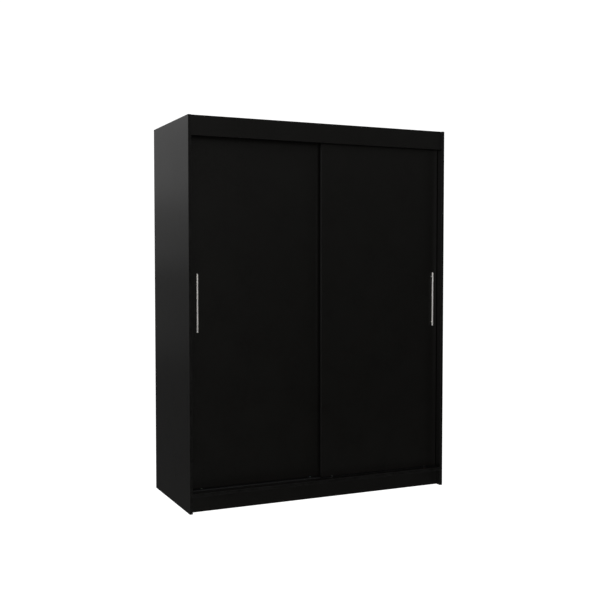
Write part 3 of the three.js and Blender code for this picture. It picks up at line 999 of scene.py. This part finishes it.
def make_wheel(node, body):
    """A nylon tyre with a groove for the track's ridge, and the bearing pressed into it."""
    low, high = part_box(node)
    centre = (low + high) / 2
    half = (high.y - low.y) / 2
    rim = (high.x - low.x) / 2
    root = rim - 1.5 * MM
    bearing_radius = 7.5 * MM
    bore = 2.8 * MM
    recess = half - 0.4 * MM
    shoulder, side_inner, side_outer = rim - 1.6 * MM, rim - 1.4 * MM, rim - 0.5 * MM
    groove_floor, groove_mouth = 1.9 * MM, 2.6 * MM
    tyre = [
        (bearing_radius, -recess),
        (shoulder, -recess),
        (side_inner, -half),
        (side_outer, -half),
        (rim, -recess),
        (rim, -groove_mouth),
        (root, -groove_floor),
        (root, groove_floor),
        (rim, groove_mouth),
        (rim, recess),
        (side_outer, half),
        (side_inner, half),
        (shoulder, recess),
        (bearing_radius, recess),
    ]
    shape = turned(tyre, centre, (0, 1, 0), segments=72)
    piece(f"{node}_tyre", shape, body, [NYLON], replaces=[node])
    seal, face = half - 0.8 * MM, half - 0.3 * MM
    inner_ring, seal_inner = bore + 1.1 * MM, bore + 1.2 * MM
    outer_ring, seal_outer = bearing_radius - 1.1 * MM, bearing_radius - 1.2 * MM
    outside = bearing_radius - 0.02 * MM
    bearing = [
        (bore, -face),
        (inner_ring, -face),
        (seal_inner, -seal),
        (seal_outer, -seal),
        (outer_ring, -face),
        (outside, -face),
        (outside, face),
        (outer_ring, face),
        (seal_outer, seal),
        (seal_inner, seal),
        (inner_ring, face),
        (bore, face),
    ]
    shape = turned(bearing, centre, (0, 1, 0), segments=48)
    piece(f"{node}_bearing", shape, body, [STEEL])


def make_guide(node, body):
    """A nylon shoe with pointed ends, hollowed between its ribs, on the door's top edge."""
    low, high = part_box(node)
    toe = 5 * MM
    outline = [
        (low.x, low.y + toe),
        (low.x + toe, low.y),
        (high.x - toe, low.y),
        (high.x, low.y + toe),
        (high.x, high.y - toe),
        (high.x - toe, high.y),
        (low.x + toe, high.y),
        (low.x, high.y - toe),
    ]
    shape = extruded(outline, low.z, high.z, axis="Z")
    centre = (low + high) / 2
    wall, web = 2.5 * MM, 2 * MM
    floor = low.z + 3 * MM
    boss, edge = 6 * MM, 0.4 * MM
    well_radius, well_depth, well_clearance = 4.4 * MM, 4 * MM, 10 * MM
    for x_low, x_high in ((low.x + toe, centre.x - boss), (centre.x + boss, high.x - toe)):
        for y_low, y_high in ((low.y + wall, centre.y - web / 2), (centre.y + web / 2, high.y - wall)):
            shape = boolean(shape, cuboid((x_low, y_low, floor), (x_high, y_high, high.z + MM)))
    seat = high.z - well_depth
    well = [(0, 0), (well_radius, 0), (well_radius, well_clearance), (0, well_clearance)]
    shape = boolean(shape, turned(well, (centre.x, centre.y, seat), (0, 0, 1), segments=32))
    shape = rounded(shape, edge, segments=2, least_angle=math.radians(60))
    piece(f"{node}_shoe", shape, body, [NYLON], replaces=[node])
    place = facing((centre.x, centre.y, seat), (0, 0, 1))
    piece(f"{node}_screw", stamped(SMALL_SCREW, [place]), body, [STEEL])


# ---- Stage, light and camera ----


def pale_floor():
    """A studio floor that glows faintly, so that it meets the white background with no horizon."""
    finish = Finish("pale_floor", (0.8, 0.8, 0.8), 0.8)
    finish.color(finish.ramp(finish.noise(0.8), [(0.3, (0.79, 0.79, 0.79)), (0.7, (0.81, 0.81, 0.81))]))
    finish.shader.inputs["Emission Color"].default_value = (1, 1, 1, 1)
    return finish.set(Specular_IOR_Level=0.0, Emission_Strength=1.1).material


def make_floor():
    half = 40.0
    shape = bmesh.new()
    corners = [(-half, -half, 0), (half, -half, 0), (half, half, 0), (-half, half, 0)]
    shape.faces.new([shape.verts.new(corner) for corner in corners])
    mesh = to_mesh(shape, "floor")
    mesh.materials.append(pale_floor())
    floor = bpy.data.objects.new("floor", mesh)
    bpy.context.scene.collection.objects.link(floor)
    floor.visible_glossy = False
    floor.visible_diffuse = False


def make_world():
    """White for the camera, a faint fill, and for gloss a pale surround with two dark flags in it.

    A black board shows what it mirrors, so the flags stand where the front and the left side mirror them.
    """
    world = bpy.data.worlds.new("studio")
    bpy.context.scene.world = world
    world.use_nodes = True
    nodes, links = world.node_tree.nodes, world.node_tree.links
    direction = nodes.new("ShaderNodeTexCoord").outputs["Generated"]

    def background(name, strength):
        node = nodes.new("ShaderNodeBackground")
        node.name = name
        node.inputs["Color"].default_value = (1, 1, 1, 1)
        node.inputs["Strength"].default_value = strength
        return node.outputs[0]

    def mixed(factor, first, second):
        node = nodes.new("ShaderNodeMixShader")
        for socket, source in zip(node.inputs, (factor, first, second)):
            links.new(source, socket)
        return node.outputs[0]

    def outside(towards, inner, outer):
        """0 within the inner angle of a direction, rising to 1 at the outer one. Angles in degrees."""
        dot = nodes.new("ShaderNodeVectorMath")
        dot.operation = "DOT_PRODUCT"
        dot.inputs[1].default_value = Vector(towards).normalized()
        links.new(direction, dot.inputs[0])
        fade = nodes.new("ShaderNodeMapRange")
        fade.interpolation_type = "SMOOTHSTEP"
        fade.inputs["From Min"].default_value = math.cos(math.radians(outer))
        fade.inputs["From Max"].default_value = math.cos(math.radians(inner))
        fade.inputs["To Min"].default_value = 1
        fade.inputs["To Max"].default_value = 0
        links.new(dot.outputs["Value"], fade.inputs["Value"])
        return fade.outputs["Result"]

    path = nodes.new("ShaderNodeLightPath").outputs
    behind = mixed(outside(REAR_FLAG, 14, 40), background("rear_flag", 0.048), background("surround", 0.64))
    glow = mixed(outside(FRONT_FLAG, 16, 42), background("front_flag", 0.0225), behind)
    lit = mixed(path["Is Glossy Ray"], background("fill", 0.015), glow)
    shown = mixed(path["Is Camera Ray"], lit, background("seen", 1.1))
    links.new(shown, nodes["World Output"].inputs["Surface"])


def area_light(name, location, target, size, power):
    data = bpy.data.lights.new(name, "AREA")
    data.shape = "RECTANGLE"
    data.size, data.size_y = size
    data.energy = power
    light = bpy.data.objects.new(name, data)
    light.location = location
    light.rotation_euler = (Vector(target) - Vector(location)).to_track_quat("-Z", "Y").to_euler()
    light.visible_camera = False
    bpy.context.scene.collection.objects.link(light)


def make_lights():
    area_light("overhead", (0, -0.5, 5.5), (0, -0.5, 0), (7.0, 7.0), 7.5)
    area_light("rear_left_high", (-2.9, 6.0, 4.4), (-1.1, 0, 4.4), (6.0, 2.4), 26.5)
    area_light("rear_left_mid", (-2.9, 6.0, 2.6), (-1.1, 0, 2.6), (6.0, 1.2), 6.3)
    area_light("rear_left_low", (-2.9, 6.0, 1.6), (-1.1, 0, 1.6), (6.0, 0.8), 1.85)
    area_light("rear_left_floor", (-2.9, 6.0, 0.6), (-1.1, 0, 0.6), (6.0, 0.9), 0.7)
    area_light("front_left_fill", (-4.5, -5.5, 2.4), (0, 0, 1.2), (4.0, 4.0), 35)
    area_light("front_left_near", (-2.4, -7.2, 1.8), (0, 0, 1.2), (2.5, 3.4), 47)
    area_light("front_right_high", (3.2, -7.5, 3.2), (0, 0, 3.2), (5.0, 2.0), 2.1)
    area_light("front_right_low", (3.2, -7.5, 1.1), (0, 0, 1.1), (5.0, 2.0), 0.9)
    area_light("right_fill", (7.5, -2.5, 2.4), (0, 0, 1.2), (4.0, 4.0), 12)


def make_camera():
    data = bpy.data.cameras.new("camera")
    data.lens = 55.348
    data.sensor_width = 36.0
    camera = bpy.data.objects.new("camera", data)
    camera.location = (-2.1597, -4.7076, 1.2725)
    camera.rotation_euler = (math.radians(90 - 2.3935), 0, math.radians(-24.6515))
    bpy.context.scene.collection.objects.link(camera)
    bpy.context.scene.camera = camera


make_carcass_boards()
make_back()
make_rail()
make_top_track()
make_bottom_track()
make_buffers()
make_shelf_pins()
make_cam_caps()
make_back_nails()
make_door("front")
make_door("rear")

bpy.context.scene.view_settings.view_transform = "Standard"
make_floor()
make_world()
make_lights()
make_camera()
